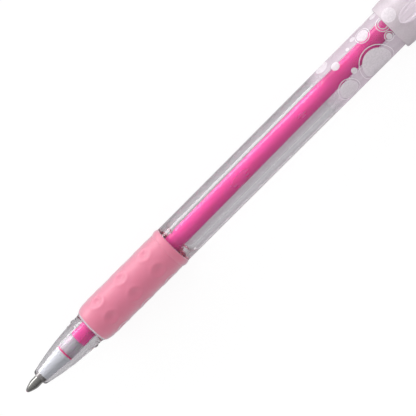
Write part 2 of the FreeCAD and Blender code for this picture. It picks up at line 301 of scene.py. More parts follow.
def join(kind, first, second, slots=(0, 1), **values):
    """A node with two nodes' outputs in two of its inputs, which are given by number."""
    tree = first.id_data
    node = add_node(tree, kind, **values)
    for output, slot in zip((first, second), slots):
        tree.links.new(output, node.inputs[slot])
    return node


def mix_shaders(factor, first, second):
    """The first shader where the factor is 0, and the second where it is 1."""
    return join("MixShader", first, second, slots=(1, 2), Fac=factor).outputs[0]


def light_path(tree, kind):
    """1 on rays of one kind, and 0 on the others."""
    return tree.nodes.new("ShaderNodeLightPath").outputs[kind]


def object_place(tree):
    """The point of the surface in the object's own space, which is the frame at rest."""
    return tree.nodes.new("ShaderNodeTexCoord").outputs["Object"]


def object_noise(tree, scale, detail=4.0, stretch=(1.0, 1.0, 1.0)):
    """Noise in the object's own space, with scale counted per metre."""
    mapping = add_node(tree, "Mapping", Vector=object_place(tree), Scale=stretch)
    texture = add_node(
        tree, "TexNoise", Vector=mapping.outputs["Vector"], Scale=scale, Detail=detail
    )
    return texture.outputs["Fac"]


def ramp(source, start, end, first=0.0, last=1.0):
    """A value that goes from first to last while its source goes from start to end."""
    limits = {"From_Min": start, "From_Max": end, "To_Min": first, "To_Max": last}
    return add_node(source.id_data, "MapRange", Value=source, **limits).outputs["Result"]


def spread(pattern, low, high):
    """A noise pattern's usual range spread over low to high."""
    return ramp(pattern, 0.3, 0.7, low, high)


def along_pen(tree, start, end, first=0.0, last=1.0):
    """A value that goes from first to last between two stations."""
    parts = add_node(tree, "SeparateXYZ", Vector=object_place(tree))
    return ramp(parts.outputs["X"], place(start, 0).x, place(end, 0).x, first, last)


def mix_colours(factor, first, second, blend_type="MIX"):
    """The first colour, or a node's output, blended by a factor with the second colour."""
    tree = factor.id_data
    node = tree.nodes.new("ShaderNodeMix")
    node.data_type = "RGBA"
    node.blend_type = blend_type
    tree.links.new(factor, node.inputs[0])
    # A Mix node's colours are its inputs 6 and 7 and its output 2
    if isinstance(first, tuple):
        node.inputs[6].default_value = (*first, 1.0)
    else:
        tree.links.new(first, node.inputs[6])
    node.inputs[7].default_value = (*second, 1.0)
    return node.outputs[2]


def vary(shader, pattern, colours, roughness):
    """Spreads a shader's colour and its roughness between two values each, by a pattern."""
    colour = mix_colours(pattern, *colours)
    set_inputs(shader, Base_Color=colour, Roughness=spread(pattern, *roughness))


def light_spread(weight, shares, reach):
    """Inputs that let light spread in a shader: how much, each colour's share, and how far."""
    return dict(Subsurface_Weight=weight, Subsurface_Radius=shares, Subsurface_Scale=reach * MM)


def add_bump(shader, height, distance, strength=1.0):
    """Fine relief on a shader, with its height in metres."""
    bump = add_node(shader.id_data, "Bump", Strength=strength, Distance=distance, Height=height)
    set_inputs(shader, Normal=bump.outputs["Normal"])


def multiply(first, second):
    """The product of two values."""
    node = join("Math", first, second)
    node.operation = "MULTIPLY"
    return node.outputs["Value"]


def vector_step(operation, source, value=(0.0, 0.0, 0.0)):
    """A vector operation between a source and a fixed vector."""
    node = source.id_data.nodes.new("ShaderNodeVectorMath")
    node.operation = operation
    source.id_data.links.new(source, node.inputs[0])
    node.inputs[1].default_value = value
    return node.outputs["Value" if operation == "DOT_PRODUCT" else "Vector"]


# Materials


def clear_material(name, tint, roughness, ior, ripple, milk=0.0, rim=None):
    """Clear or slightly milky plastic, faintly rippled. Its shadow only tints what is inside.

    With a rim colour, the surface takes that colour where it turns away from the eye: painted shade
    that darkens its edges.
    """
    material, tree, output = new_material(name)
    shader = add_node(
        tree, "BsdfPrincipled", Base_Color=(*tint, 1.0), Transmission_Weight=1.0 - milk, IOR=ior
    )
    # The rim colour is painted shade along the edges that turn away from the eye
    if rim:
        facing = add_node(tree, "LayerWeight", Blend=0.5).outputs["Facing"]
        painted_edge_shade = ramp(facing, 0.72, 0.96)
        set_inputs(shader, Base_Color=mix_colours(painted_edge_shade, tint, rim))
    flow = object_noise(tree, 260.0, 3.0, (0.25, 1.0, 1.0))
    set_inputs(shader, Roughness=spread(flow, roughness * 0.6, roughness * 1.6))
    add_bump(shader, flow, ripple)
    clear = add_node(tree, "BsdfTransparent", Color=(*tint, 1.0))
    seen, lit = shader.outputs["BSDF"], clear.outputs["BSDF"]
    set_inputs(output, Surface=mix_shaders(light_path(tree, "Is Shadow Ray"), seen, lit))
    return material


def frosted_material():
    """Milky polypropylene of the liner: light comes through, shapes behind it don't."""
    material, tree, shader = one_shader(
        "frosted_liner",
        Transmission_Weight=0.55,
        IOR=1.49,
        **light_spread(0.3, (1.0, 0.8, 0.9), 1.5),
    )
    cloud = object_noise(tree, 400.0)
    vary(shader, cloud, ((0.80, 0.76, 0.80), (0.90, 0.88, 0.90)), (0.28, 0.42))
    return material


def grease_material():
    """Cloudy grease: light spreads in it, so it looks pale instead of see-through."""
    soft = light_spread(0.8, (1.0, 0.9, 0.8), 1.0)
    material, tree, shader = one_shader("cloudy_grease", IOR=1.45, **soft)
    cloud = object_noise(tree, 600.0)
    vary(shader, cloud, ((0.80, 0.74, 0.70), (0.88, 0.83, 0.80)), (0.2, 0.35))
    return material


def ink_material():
    """Opaque pink gel, with faint lighter and darker streaks along the tube."""
    soft = light_spread(0.5, (1.0, 0.35, 0.6), 0.8)
    material, tree, shader = one_shader("pink_gel_ink", IOR=1.4, Specular_IOR_Level=0.05, **soft)
    streaks = object_noise(tree, 500.0, 5.0, (0.12, 1.0, 1.0))
    vary(shader, streaks, ((0.93, 0.055, 0.36), (0.98, 0.075, 0.42)), (0.3, 0.45))
    return material


def rubber_material():
    """Satin pink rubber: fine grain, a soft veil of gloss, and handling marks in its colour."""
    material, tree, shader = one_shader(
        "grip_rubber",
        IOR=1.5,
        Specular_IOR_Level=0.9,
        Coat_Weight=1.0,
        Coat_IOR=1.8,
        Coat_Roughness=0.75,
        Sheen_Weight=1.0,
        Sheen_Roughness=0.5,
        Sheen_Tint=(0.85, 1.0, 1.0, 1.0),
        **light_spread(0.2, (1.0, 0.45, 0.55), 1.2),
    )
    patches = object_noise(tree, 180.0, 3.0)
    vary(shader, patches, ((0.71, 0.118, 0.24), (0.77, 0.142, 0.275)), (0.42, 0.56))
    add_bump(shader, object_noise(tree, 9000.0, 2.0), 0.008 * MM, 0.6)
    return material


def plastic_material(name, dark, light, roughness, stain_and_painted_light=None):
    """Moulded plastic with a very fine texture.

    The last argument, (colour, start, end), multiplies the colour behind the stations where it grows,
    and lets light spread in the plastic there. It tints the plastic like the ink, and a colour above
    1 also paints it lighter: painted light.
    """
    material, tree, shader = one_shader(name, IOR=1.5, Specular_IOR_Level=0.35)
    patches = object_noise(tree, 700.0, 3.0)
    colour = mix_colours(patches, dark, light)
    if stain_and_painted_light:
        tint, start, end = stain_and_painted_light
        reach = along_pen(tree, start, end)
        # Pink ink tint and painted lightening, multiplied into the colour
        colour = mix_colours(reach, colour, tint, "MULTIPLY")
        set_inputs(shader, **light_spread(reach, (1.0, 0.75, 0.9), 2.0))
    texture = spread(patches, roughness * 0.85, roughness * 1.2)
    set_inputs(shader, Base_Color=colour, Roughness=texture)
    add_bump(shader, object_noise(tree, 7000.0, 2.0), 0.005 * MM, 0.5)
    return material


def metal_material(name, dark, light, roughness, turning):
    """Metal with the fine rings that turning on a lathe leaves, which run round the axis."""
    material, tree, shader = one_shader(name, Metallic=1.0)
    rings = object_noise(tree, 1.0, 3.0, (turning, 30.0, 30.0))
    vary(shader, rings, (dark, light), (roughness * 0.7, roughness * 1.4))
    add_bump(shader, rings, 0.004 * MM, 0.5)
    return material


def lamps_through(tree):
    """1, but 0 on the way to a lamp, so that a thin print throws no shadow."""
    return ramp(light_path(tree, "Is Shadow Ray"), 0.0, 1.0, 1.0, 0.0)


def print_material():
    """Thin white printing ink: partly see-through, denser in some places than in others."""
    material, tree, shader = one_shader(
        "white_print", Base_Color=(0.83, 0.78, 0.82, 1.0), Roughness=0.45, IOR=1.45
    )
    cover = spread(object_noise(tree, 2500.0, 4.0), 0.58, 0.74)
    set_inputs(shader, Alpha=multiply(cover, lamps_through(tree)))
    return material


# The clear strip in the barrel's mist, which lies a little to the camera's side of straight up
WINDOW = SimpleNamespace(
    turn=math.radians(-10.8),
    half_angle=math.radians(22.0),
    softness=math.radians(8.0),
)


def outside_window(tree):
    """1 all round the pen except 0 in a clear strip along it, with soft edges."""
    w = WINDOW
    offset = vector_step("SUBTRACT", object_place(tree), AXIS)
    across = vector_step("NORMALIZE", vector_step("MULTIPLY", offset, (0.0, 1.0, 1.0)))
    facing = (0.0, -math.sin(w.turn), math.cos(w.turn))
    closeness = vector_step("DOT_PRODUCT", across, facing)
    outer, inner = math.cos(w.half_angle + w.softness), math.cos(w.half_angle)
    return ramp(closeness, outer, inner, 1.0, 0.0)


def mist_material(name, dark, light, start, end, first, last, window=False):
    """A fine spray of printing ink whose cover goes from first to last between two stations; the
    nose's rim uses it for a painted glint.
    """
    material, tree, shader = one_shader(name, Roughness=0.4, IOR=1.45)
    clouds = object_noise(tree, 420.0, 3.0)
    set_inputs(shader, Base_Color=mix_colours(clouds, dark, light))
    grain = spread(object_noise(tree, 3000.0, 4.0), 0.93, 1.07)
    alpha = multiply(along_pen(tree, start, end, first, last), grain)
    if window:
        alpha = multiply(alpha, outside_window(tree))
    set_inputs(shader, Alpha=multiply(alpha, lamps_through(tree)))
    return material


CLEAR = clear_material("clear_barrel", (0.985, 0.962, 0.985), 0.02, 1.52, 0.001 * MM)
# The clip's and the tube's rim colours paint shade along their edges
CLEAR_CLIP = clear_material(
    "clear_clip", (0.98, 0.93, 0.97), 0.03, 1.45, 0.002 * MM, milk=0.3, rim=(0.45, 0.34, 0.43)
)
CLEAR_TUBE = clear_material(
    "clear_tube", (0.985, 0.97, 0.985), 0.2, 1.25, 0.001 * MM, rim=(0.45, 0.40, 0.44)
)
GREASE = grease_material()
FROSTED = frosted_material()
INK = ink_material()
RUBBER = rubber_material()
PINK = plastic_material("pink_plastic", (0.80, 0.035, 0.19), (0.86, 0.05, 0.24), 0.3)
RING_PINK = plastic_material("tube_end_pink", (0.92, 0.04, 0.26), (0.96, 0.07, 0.33), 0.25)
# In the tube the holder's plug is tinted pink by the ink, and it is also painted lighter than its
# front: painted light
PLUG_INK_STAIN_AND_PAINTED_LIGHT = ((1.25, 1.06, 1.14), SIZE.tube_start - SIZE.slide_gap, SIZE.tube_start)
WHITE = plastic_material(
    "holder_white", (0.72, 0.77, 0.80), (0.77, 0.82, 0.85), 0.5, stain_and_painted_light=PLUG_INK_STAIN_AND_PAINTED_LIGHT
)
SEAL = plastic_material("seal_rubber", (0.56, 0.54, 0.52), (0.62, 0.60, 0.58), 0.6)
METAL = metal_material("turned_metal", (0.30, 0.295, 0.28), (0.42, 0.415, 0.40), 0.22, 14000.0)
# The ball is wet with ink, which tints its metal
CARBIDE = metal_material("ball_carbide", (0.60, 0.34, 0.46), (0.68, 0.42, 0.54), 0.12, 3000.0)
PRINT = print_material()
BARREL_MIST = mist_material(
    "barrel_mist",
    (0.77, 0.65, 0.74),
    (0.77, 0.71, 0.76),
    SIZE.mist_start,
    SIZE.mist_full,
    0.0,
    0.42,
    window=True,
)
CAP_MIST = mist_material(
    "cap_mist", (0.76, 0.66, 0.72), (0.76, 0.71, 0.74), SIZE.cap_mouth, SIZE.shell_end, 0.54, 0.40
)
# A white ring of painted highlight: a glint along the nose's flared edge where it meets the grip
RIM_PAINTED_GLINT = mist_material(
    "rim_painted_glint", (0.80, 0.74, 0.80), (0.86, 0.82, 0.86), SIZE.rim_start, SIZE.grip_start, 0.2, 0.85
)


# Mesh helpers


def bend_points(start, end, radius, side):
    """Points between two corners along an arc. side is 1 when it bulges left of the way along."""
    start, end = Vector(start), Vector(end)
    chord = end - start
    left = Vector((-chord.y, chord.x)).normalized()
    rise = math.sqrt(radius**2 - (chord.length / 2) ** 2)
    centre = (start + end) / 2 - left * side * rise
    first = math.atan2(start.y - centre.y, start.x - centre.x)
    sweep = -side * 2 * math.asin(chord.length / 2 / radius)
    steps = max(2, math.ceil(abs(sweep) / ARC_STEP), math.ceil(chord.length / ARC_RUN))
    angles = [first + sweep * i / steps for i in range(1, steps)]
    return [(centre.x + radius * math.cos(a), centre.y + radius * math.sin(a)) for a in angles]


def expand(outline):
    """The outline's corners, with each ("bend", radius, side) between two corners as points."""
    points = []
    for i, step in enumerate(outline):
        if step[0] == "bend":
            following = outline[(i + 1) % len(outline)]
            points += bend_points(outline[i - 1], following, *step[1:])
        else:
            points.append(step)
    return points


def plain_tube(start, end, inner, outer):
    """The outline of a plain tube between two stations, or of a rod if inner is 0."""
    return [(start, inner), (start, outer), (end, outer), (end, inner)]


def turned_mesh(outline, segments=SEGMENTS):
    """A closed bmesh: a closed outline of (station, radius) turned about the pen's axis."""
    shape = bmesh.new()
    rings = []
    for station, radius in expand(outline):
        count = segments if radius > 0 else 1
        turns = [2 * math.pi * i / count for i in range(count)]
        rings.append([shape.verts.new(place(station, radius, turn)) for turn in turns])
    for ring, following in zip(rings, rings[1:] + rings[:1]):
        if len(ring) == len(following) == 1:
            continue
        for i in range(segments):
            corners = [
                ring[i % len(ring)],
                ring[(i + 1) % len(ring)],
                following[(i + 1) % len(following)],
                following[i % len(following)],
            ]
            shape.faces.new(list(dict.fromkeys(corners)))
    bmesh.ops.recalc_face_normals(shape, faces=shape.faces)
    return shape


def finish_mesh(name, shape, sharp=SHARP):
    """A smooth-shaded object made from a bmesh, with its sharp edges marked."""
    mesh = bpy.data.meshes.new(name)
    shape.to_mesh(mesh)
    shape.free()
    mesh.shade_smooth()
    mesh.set_sharp_from_angle(angle=math.radians(sharp))
    piece = bpy.data.objects.new(name, mesh)
    bpy.context.collection.objects.link(piece)
    return piece


def round_edges(piece, width, angle=SHARP):
    """Puts a small bevel, in millimetres, on the piece's sharp edges."""
    bevel = piece.modifiers.new("edge_rounds", "BEVEL")
    bevel.width = width * MM
    bevel.segments = 3
    bevel.limit_method = "ANGLE"
    bevel.angle_limit = math.radians(angle)
    bevel.harden_normals = True
    return piece


def dress(piece, material, body, slot, *nodes):
    """Gives a piece its material and its body, and hides the CAD nodes that it stands for. The slot
    is not used.
    """
    piece.data.materials.append(material)
    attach(piece, body)
    if nodes:
        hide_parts(*nodes)
    return piece


def turned(node, outline, material, slot, leaning=False, bevel=0.05):
    """The smooth turned piece that stands for a CAD node."""
    piece = finish_mesh(node + "_visual", turned_mesh(outline))
    if leaning:
        piece.data.transform(refill_lean())
    if bevel:
        round_edges(piece, bevel)
    return dress(piece, material, BODY_OF[node], slot, node)


# Point and refill


def make_point():
    """Ball, turned metal point with a rolled lip, and the holder behind it."""
    s = SIZE
    back = math.sqrt((s.ball_radius + s.seat_gap) ** 2 - s.feed_radius**2 / 4)
    front = math.sqrt((s.ball_radius + s.seat_gap) ** 2 - (s.ball_radius - s.lip_station) ** 2)
    outline = [
        (s.lip_station, s.lip_radius - s.lip_roll),
        (s.lip_station + s.lip_roll, s.lip_radius + s.lip_roll / 4),
        ("bend", s.cone_curve, 1),
        (s.cone_end, s.point_radius),
        (s.collar_start, s.point_radius),
        (s.collar_start, s.collar_radius),
        (s.collar_end, s.collar_radius),
        (s.collar_end, s.stem_radius),
        (s.stem_end, s.stem_radius),
        (s.stem_end, s.feed_radius),
        (s.feed_start, s.feed_radius),
        (s.feed_start - s.edge_break, s.feed_radius / 2),
        (s.ball_radius + back, s.feed_radius / 2),
        ("bend", s.ball_radius + s.seat_gap, -1),
        (s.lip_station, front),
    ]
    turned("point_housing", outline, METAL, "point_metal", leaning=True, bevel=0.03)
    outline = [
        (s.collar_end, s.stem_radius),
        (s.collar_end, s.holder_front_radius),
        (s.holder_cone_end, s.holder_rear_radius),
        (s.holder_cone_end, s.tube_radius),
        (s.tube_start, s.tube_radius),
        (s.tube_start, s.tube_bore_radius),
        (s.plug_end, s.tube_bore_radius),
        (s.plug_end, s.holder_bore_radius),
        (s.stem_end, s.holder_bore_radius),
        (s.stem_end, s.stem_radius),
    ]
    turned("tip_holder", outline, WHITE, "white_plastic", leaning=True)
    ball = frame["nodes"]["writing_ball"]
    ball.data.materials.clear()
    ball.data.materials.append(CARBIDE)


def make_refill():
    """Clear tube with a pink front edge, the ink that wets its wall, and the grease follower."""
    s = SIZE
    wet = s.tube_bore_radius + s.seat_gap / 2
    tube = plain_tube(s.tube_start, s.tube_end, s.tube_bore_radius, s.tube_radius)
    turned("refill_tube", tube, CLEAR_TUBE, "tube_plastic", leaning=True)
    tinted = s.tube_radius + s.seat_gap / 2
    ring = plain_tube(s.tube_start, s.tube_start + s.tint_length, s.tube_bore_radius, tinted)
    tint = finish_mesh("tube_end_tint", turned_mesh(ring))
    tint.data.transform(refill_lean())
    dress(tint, RING_PINK, "refill", "pink_ink")
    ink = plain_tube(s.plug_end, s.ink_end, 0, wet)
    turned("ink_column", ink, INK, "pink_ink", leaning=True, bevel=0)
    outline = [
        (s.ink_end, 0),
        (s.ink_end, wet),
        (s.follower_end, wet),
        ("bend", 2 * s.tube_bore_radius, 1),
        (s.follower_end - s.meniscus_depth, 0),
    ]
    turned("gel_follower", outline, GREASE, "follower_grease", leaning=True, bevel=0)


# Nose, barrel and grip


def make_nose():
    """Clear ogive nose with its ridge, snap bead and flared flange."""
    s = SIZE
    outline = [
        (s.nose_start, s.nose_hole_radius),
        (s.nose_start, s.nose_rim_radius - s.edge_break),
        (s.nose_start + s.edge_break, s.nose_rim_radius),
        ("bend", s.ogive_curve, 1),
        (s.ogive_end, s.ogive_radius),
        (s.ogive_end, s.ridge_radius),
        (s.ridge_end, s.ridge_radius),
        (s.ridge_end, s.neck_radius),
        (s.bead_rise_start, s.neck_radius),
        (s.bead_start, s.bead_radius),
        (s.bead_end, s.bead_radius),
        (s.bead_fall_end, s.flare_start_radius),
        (s.flare_start, s.flare_start_radius),
        ("bend", s.flare_curve, -1),
        (s.grip_start, s.grip_front_radius),
        (s.grip_start, s.thread_radius),
        (s.thread_end - s.edge_break, s.thread_radius),
        (s.thread_end, s.thread_radius - s.edge_break),
        (s.thread_end, s.nose_bore_radius),
        (s.nose_bore_start, s.nose_bore_radius),
        (s.nose_bore_start, s.holder_rear_radius + s.holder_clearance),
        (s.collar_end, s.nose_hole_radius + s.seat_gap),
        (s.collar_end, s.nose_hole_radius),
    ]
    turned("nose_cone", outline, CLEAR, "clear_plastic")


def make_barrel():
    """Thick clear tube whose bore starts with a rounded end, and the plug in its tail."""
    s = SIZE
    outline = [
        (s.grip_start, s.thread_radius + s.slide_gap),
        (s.grip_start, s.grip_core_radius),
        (s.grip_end, s.grip_core_radius),
        (s.grip_end, s.barrel_front_radius),
        (s.shoulder_station - s.edge_break, s.barrel_rear_radius),
        (s.shoulder_station, s.barrel_rear_radius - s.edge_break),
        (s.shoulder_station, s.tail_radius),
        (s.tail_end, s.tail_radius),
        (s.tail_end, s.bore_radius),
        (s.bore_round_end, s.bore_radius),
        ("bend", s.bore_round_curve, -1),
        (s.bore_round_start, s.core_bore_radius),
        (s.socket_end, s.core_bore_radius),
        (s.socket_end, s.thread_radius + s.slide_gap),
    ]
    turned("barrel", outline, CLEAR, "clear_plastic")
    outline = [
        (s.spigot_start, s.plug_bore_radius),
        (s.spigot_start, s.bore_radius - s.edge_break),
        (s.spigot_start + s.edge_break, s.bore_radius - s.seat_gap),
        (s.tail_end, s.bore_radius - s.seat_gap),
        (s.tail_end, s.tail_radius),
        (s.plug_flange_end - s.edge_break, s.tail_radius),
        (s.plug_flange_end, s.tail_radius - s.edge_break),
        (s.plug_flange_end, s.vent_radius),
        (s.plug_bore_end, s.vent_radius),
        (s.plug_bore_end, s.plug_bore_radius),
    ]
    turned("tail_plug", outline, PINK, "pink_plastic")


GRIP = SimpleNamespace(
    dimple_station=26.6,
    dimple_pitch=7.53,
    dimples_along=3,
    dimples_round=6,
    first_turn=math.radians(16.5),
    half_length=1.9,
    half_width=1.65,
    depth=0.4,
    rim_height=0.07,
    rim_reach=1.45,
    along_step=0.16,
    segments=240,
)


def dimple_depth(station, turn, radius):
    """How far the grip's surface dips at a place: soft ovals in rows round the grip."""
    nearest = round((station - GRIP.dimple_station) / GRIP.dimple_pitch)
    nearest = min(max(nearest, 0), GRIP.dimples_along - 1)
    along = station - GRIP.dimple_station - nearest * GRIP.dimple_pitch
    row = 2 * math.pi / GRIP.dimples_round
    off = (turn - GRIP.first_turn + row / 2) % row - row / 2
    reach = math.hypot(along / GRIP.half_length, off * radius / GRIP.half_width)
    if reach < 1:
        rim = GRIP.rim_height * math.sin(reach * math.pi / 2) ** 2
        return GRIP.depth * (1 - reach**2) ** 2 - rim
    if reach < GRIP.rim_reach:
        share = (reach - 1) / (GRIP.rim_reach - 1)
        return -GRIP.rim_height * math.cos(share * math.pi / 2) ** 2
    return 0.0


def make_grip():
    """Rubber sleeve: rounded front, dimples with soft rims, a groove and a raised rear collar."""
    s = SIZE
    outer = [
        (s.grip_start - s.lip_overlap, s.grip_front_radius + s.seat_gap),
        ("bend", s.grip_round_curve, 1),
        (s.grip_round_end, s.grip_radius),
    ]
    count = round((s.collar_groove_start - s.grip_round_end) / GRIP.along_step)
    run = (s.collar_groove_start - s.grip_round_end) / count
    outer += [(s.grip_round_end + run * i, s.grip_radius) for i in range(1, count)]
    outer += [
        (s.collar_groove_start, s.grip_radius),
        (s.collar_groove_start + s.collar_groove_width / 2, s.grip_radius - s.collar_groove_depth),
        (s.collar_groove_start + s.collar_groove_width, s.grip_radius),
        ("bend", s.collar_curve, 1),
        (s.grip_end + s.seat_gap, s.barrel_front_radius),
        (s.grip_end + s.seat_gap, s.grip_core_radius - s.seat_gap),
        (s.grip_start - s.lip_overlap, s.grip_core_radius - s.seat_gap),
    ]
    shape = turned_mesh(outer, GRIP.segments)
    for vert in shape.verts:
        station = (vert.co.x - START) / MM
        across, up = vert.co.y - AXIS.y, vert.co.z - AXIS.z
        radius = math.hypot(across, up) / MM
        if radius < s.grip_front_radius:
            continue
        turn = math.atan2(-across, up)
        vert.co = place(station, radius - dimple_depth(station, turn, radius), turn)
    piece = finish_mesh("grip_sleeve_visual", shape, sharp=40.0)
    round_edges(piece, width=0.06, angle=40.0)
    dress(piece, RUBBER, "barrel", "grip_rubber", "grip_sleeve")


# Cap


def cut(piece, tool, operation):
    """Applies an exact boolean of the tool to the piece, and removes the tool."""
    boolean = piece.modifiers.new("cut", "BOOLEAN")
    boolean.object = tool
    boolean.operation = operation
    boolean.solver = "EXACT"
    depsgraph = bpy.context.evaluated_depsgraph_get()
    mesh = bpy.data.meshes.new_from_object(piece.evaluated_get(depsgraph), depsgraph=depsgraph)
    piece.modifiers.remove(boolean)
    piece.data = mesh
    bpy.data.objects.remove(tool)
    mesh.shade_smooth()
    mesh.set_sharp_from_angle(angle=math.radians(SHARP))


def side_block(name, outline, half_width):
    """A block with a side outline of (station, radius) and flat sides, as an object."""
    shape = bmesh.new()
    sides = []
    for y in (-half_width * MM, half_width * MM):
        offset = Vector((0, y, 0))
        sides.append([shape.verts.new(place(*point) + offset) for point in expand(outline)])
    shape.faces.new(sides[0])
    shape.faces.new(sides[1][::-1])
    count = len(sides[0])
    for i in range(count):
        following = (i + 1) % count
        shape.faces.new([sides[0][i], sides[1][i], sides[1][following], sides[0][following]])
    bmesh.ops.recalc_face_normals(shape, faces=shape.faces)
    return finish_mesh(name, shape)


def make_cap_shell():
    """Clear cap tube with a tapered mouth, in one piece with the boss that holds the clip."""
    s = SIZE
    outline = [
        (s.cap_mouth, s.cap_bore_radius + s.edge_break),
        (s.cap_mouth, s.mouth_radius - s.edge_break),
        (s.cap_mouth + s.edge_break, s.mouth_radius),
        (s.cap_mouth + s.mouth_taper, s.cap_radius),
        (s.shell_end, s.cap_radius),
        (s.shell_end, s.cap_bore_radius),
        (s.cap_mouth + s.edge_break, s.cap_bore_radius),
    ]
    shell = finish_mesh("cap_shell_visual", turned_mesh(outline))
    recess = s.knuckle_radius + s.knuckle_gap
    hinge_radius = (s.clip_top + s.clip_underside) / 2
    rise = s.clip_top - hinge_radius
    outline = [
        (s.boss_start, s.boss_foot),
        (s.boss_start, hinge_radius - recess),
        (s.hinge_station, hinge_radius - recess),
        ("bend", recess, -1),
        (s.hinge_station + math.sqrt(recess**2 - rise**2), s.clip_top),
        (s.shell_end - s.edge_break, s.clip_top),
        (s.shell_end, s.clip_top - s.edge_break),
        (s.shell_end, s.boss_foot),
    ]
    boss = side_block("boss", outline, s.boss_width / 2)
    cut(shell, boss, "UNION")
    round_edges(shell, width=0.08, angle=40.0)
    dress(shell, CLEAR, "cap", "clear_plastic", "cap_shell")


def make_cap_inside():
    """Frosted liner with its neck, and the seal pad in it."""
    s = SIZE
    outside = s.cap_bore_radius - s.seat_gap
    bore = s.tail_radius + s.slide_gap
    outline = [
        (s.liner_start, bore + s.edge_break),
        (s.liner_start, outside - s.edge_break),
        (s.liner_start + s.edge_break, outside),
        (s.liner_body_end, outside),
        (s.liner_neck_start, s.liner_neck_radius),
        (s.liner_end, s.liner_neck_radius),
        (s.liner_end, 0),
        (s.seal_end, 0),
        (s.seal_end, s.point_well_radius),
        (s.point_well_start, s.point_well_radius),
        (s.point_well_start, s.point_well_front_radius),
        (s.nose_seat_end, s.nose_seat_radius),
        (s.liner_bore_end, bore),
        (s.liner_start + s.edge_break, bore),
    ]
    turned("inner_cap", outline, FROSTED, "frosted_plastic")
    pad = plain_tube(s.seal_start, s.seal_end, 0, s.point_well_radius - s.seat_gap)
    turned("cap_seal", pad, SEAL, "seal_rubber")


def make_crown():
    """Pink plug that closes the cap, with its middle hole and air vents."""
    s = SIZE
    spigot = s.cap_bore_radius - s.seat_gap
    outline = [
        (s.crown_start, s.crown_bore_radius),
        (s.crown_start, spigot - s.edge_break),
        (s.crown_start + s.edge_break, spigot),
        (s.shell_end, spigot),
        (s.shell_end, s.cap_radius),
        (s.crown_end - s.crown_round, s.cap_radius),
        ("bend", s.crown_curve, 1),
        (s.crown_end, s.cap_radius - s.crown_round),
        (s.crown_end, s.crown_hole_radius),
        (s.crown_bore_end, s.crown_hole_radius),
        (s.crown_bore_end, s.crown_bore_radius),
    ]
    crown = finish_mesh("cap_crown_visual", turned_mesh(outline))
    for i in range(s.crown_vents):
        turn = math.tau * i / s.crown_vents
        shape = bmesh.new()
        bmesh.ops.create_cone(
            shape,
            cap_ends=True,
            segments=32,
            radius1=s.crown_vent_radius * MM,
            radius2=s.crown_vent_radius * MM,
            depth=(s.crown_end - s.crown_bore_end) * 2 * MM,
            matrix=Matrix.Translation(place(s.crown_end, s.crown_vent_offset, turn))
            @ Matrix.Rotation(math.pi / 2, 4, "Y"),
        )
        cut(crown, finish_mesh("vent", shape), "DIFFERENCE")
    round_edges(crown, width=0.06, angle=40.0)
    dress(crown, PINK, "cap", "pink_plastic", "cap_crown")


CLIP = SimpleNamespace(
    edge_round=0.28,
    edge_share=2.2,
    edge_points=7,
    tip_fullness=0.98,
    groove_points=13,
    groove_span=0.75,
    groove_flank=0.42,
    groove_fade=2.0,
    first_step=0.06,
    step_growth=0.0012,
    tip_rings=34,
    straight_rings=40,
    fade_rings=10,
    knuckle_rings=9,
    end_gap=0.01,
)


def clip_sides(station):
    """The clip's underside and top at a station, as radii."""
    s = SIZE
    hinge_radius = (s.clip_top + s.clip_underside) / 2
    if station > s.hinge_station:
        half = math.sqrt(max(s.knuckle_radius**2 - (station - s.hinge_station) ** 2, 0))
        return hinge_radius - half, min(hinge_radius + half, s.clip_top)
    top = s.clip_top
    if station < s.clip_tip + s.clip_tip_length:
        share = (station - s.clip_tip) / s.clip_tip_length
        top = hinge_radius + (s.clip_top - hinge_radius) * math.sqrt(1 - (1 - share) ** 2)
    if station < s.bump_start:
        share = (station - s.clip_tip) / (s.bump_start - s.clip_tip)
        bottom = s.clip_touch + s.bump_rise * (1 - math.sin(share * math.pi / 2))
    elif station < s.bump_end:
        bottom = s.clip_touch
    elif station < s.bump_end + s.bump_run:
        share = (station - s.bump_end) / s.bump_run
        rise = (s.clip_underside - s.clip_touch) * (1 - math.cos(share * math.pi)) / 2
        bottom = s.clip_touch + rise
    else:
        bottom = s.clip_underside
    return bottom, top


def clip_section(station):
    """Points (across, radius) round the clip: rounded edges and two grooves along its top."""
    s, c = SIZE, CLIP
    bottom, top = clip_sides(station)
    share = min((station - s.clip_tip) / s.clip_tip_length, 1.0)
    half = s.clip_half_width * math.sqrt(1 - (1 - share) ** 2 * c.tip_fullness)
    corner = min(c.edge_round, (top - bottom) / c.edge_share, half / c.edge_share)
    groove = s.rib_groove_depth * share * min((s.hinge_station - station) / c.groove_fade, 1.0)
    groove = max(groove, 0.0)
    edge = half - corner
    bends = [math.pi / 2 * i / (c.edge_points - 1) for i in range(c.edge_points)]
    points = [(edge + corner * math.sin(a), bottom + corner - corner * math.cos(a)) for a in bends]
    points += [(edge + corner * math.cos(a), top - corner + corner * math.sin(a)) for a in bends]
    scale = half / s.clip_half_width
    for i in range(c.groove_points):
        off = (2 * i / (c.groove_points - 1) - 1) * s.rib_groove_width * c.groove_span
        dip = groove * math.exp(-((off / (s.rib_groove_width * c.groove_flank)) ** 4))
        points.append(((s.rib_groove_offset - off) * scale, top - dip))
    return points + [(-y, r) for y, r in reversed(points)]


def clip_stations():
    """The stations of the clip's sections: close at its tip, its root and its knuckle."""
    s, c = SIZE, CLIP
    rear, front = s.bump_end + s.bump_run, s.clip_tip + c.end_gap
    stations = [front + c.first_step * i + c.step_growth * i * i for i in range(c.tip_rings)]
    stations = [station for station in stations if station < rear]
    fade = s.hinge_station - c.groove_fade
    stations += [rear + (fade - rear) * i / c.straight_rings for i in range(c.straight_rings)]
    stations += [fade + c.groove_fade * i / c.fade_rings for i in range(c.fade_rings)]
    for i in range(c.knuckle_rings):
        turn = math.pi / 2 * i / c.knuckle_rings
        stations.append(s.hinge_station + s.knuckle_radius * math.sin(turn))
    stations.append(s.hinge_station + s.knuckle_radius - c.end_gap)
    return stations


